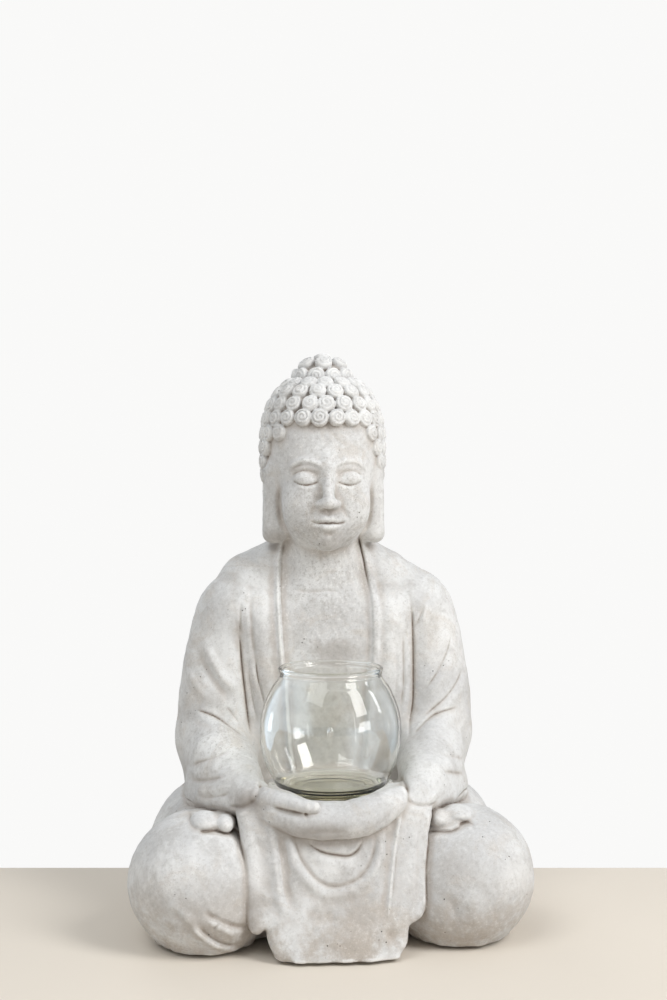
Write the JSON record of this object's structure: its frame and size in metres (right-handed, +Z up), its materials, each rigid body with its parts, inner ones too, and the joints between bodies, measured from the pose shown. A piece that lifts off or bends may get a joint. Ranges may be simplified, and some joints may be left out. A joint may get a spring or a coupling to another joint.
{
  "type": "seated meditation figure with glass bowl",
  "caption": "Seated meditation figure in hollow-cast fibre cement with snail curls and a draped robe, holding a loose round glass bowl in its hands.",
  "frame": {"origin": "on the floor, at the centre of the figure's footprint", "axes": "+Z up; the figure faces -Y; +X is the figure's left hand side"},
  "size_m": [0.3495, 0.2563, 0.5102],
  "materials": {
    "fibre_cement": "matte, mottled, lightly weathered",
    "clear_glass": "clear, smooth",
    "dark_felt": "pressed felt",
    "olive_felt": "pressed felt",
    "clear_silicone": "translucent, soft"
  },
  "bodies": {
    "figure": {"cast_figure": "fibre_cement", "bumper_left": "clear_silicone", "bumper_right": "clear_silicone", "foot_pad_front_left": "dark_felt", "foot_pad_front_right": "dark_felt", "foot_pad_back_left": "dark_felt", "foot_pad_back_right": "dark_felt"},
    "felt_disc": {"bowl_felt_disc": "olive_felt"},
    "bowl": {"glass_bowl": "clear_glass"}
  },
  "joints": [
    {"name": "bowl_turn", "type": "hinge", "parent": "figure", "child": "felt_disc", "pos_m": [-0.0015, -0.054, 0.125], "axis": [0, 0, 1], "continuous": true},
    {"name": "bowl_lift", "type": "slide", "parent": "felt_disc", "child": "bowl", "axis": [0, 0, 1], "range_m": [0, 0.09]}
  ]
}
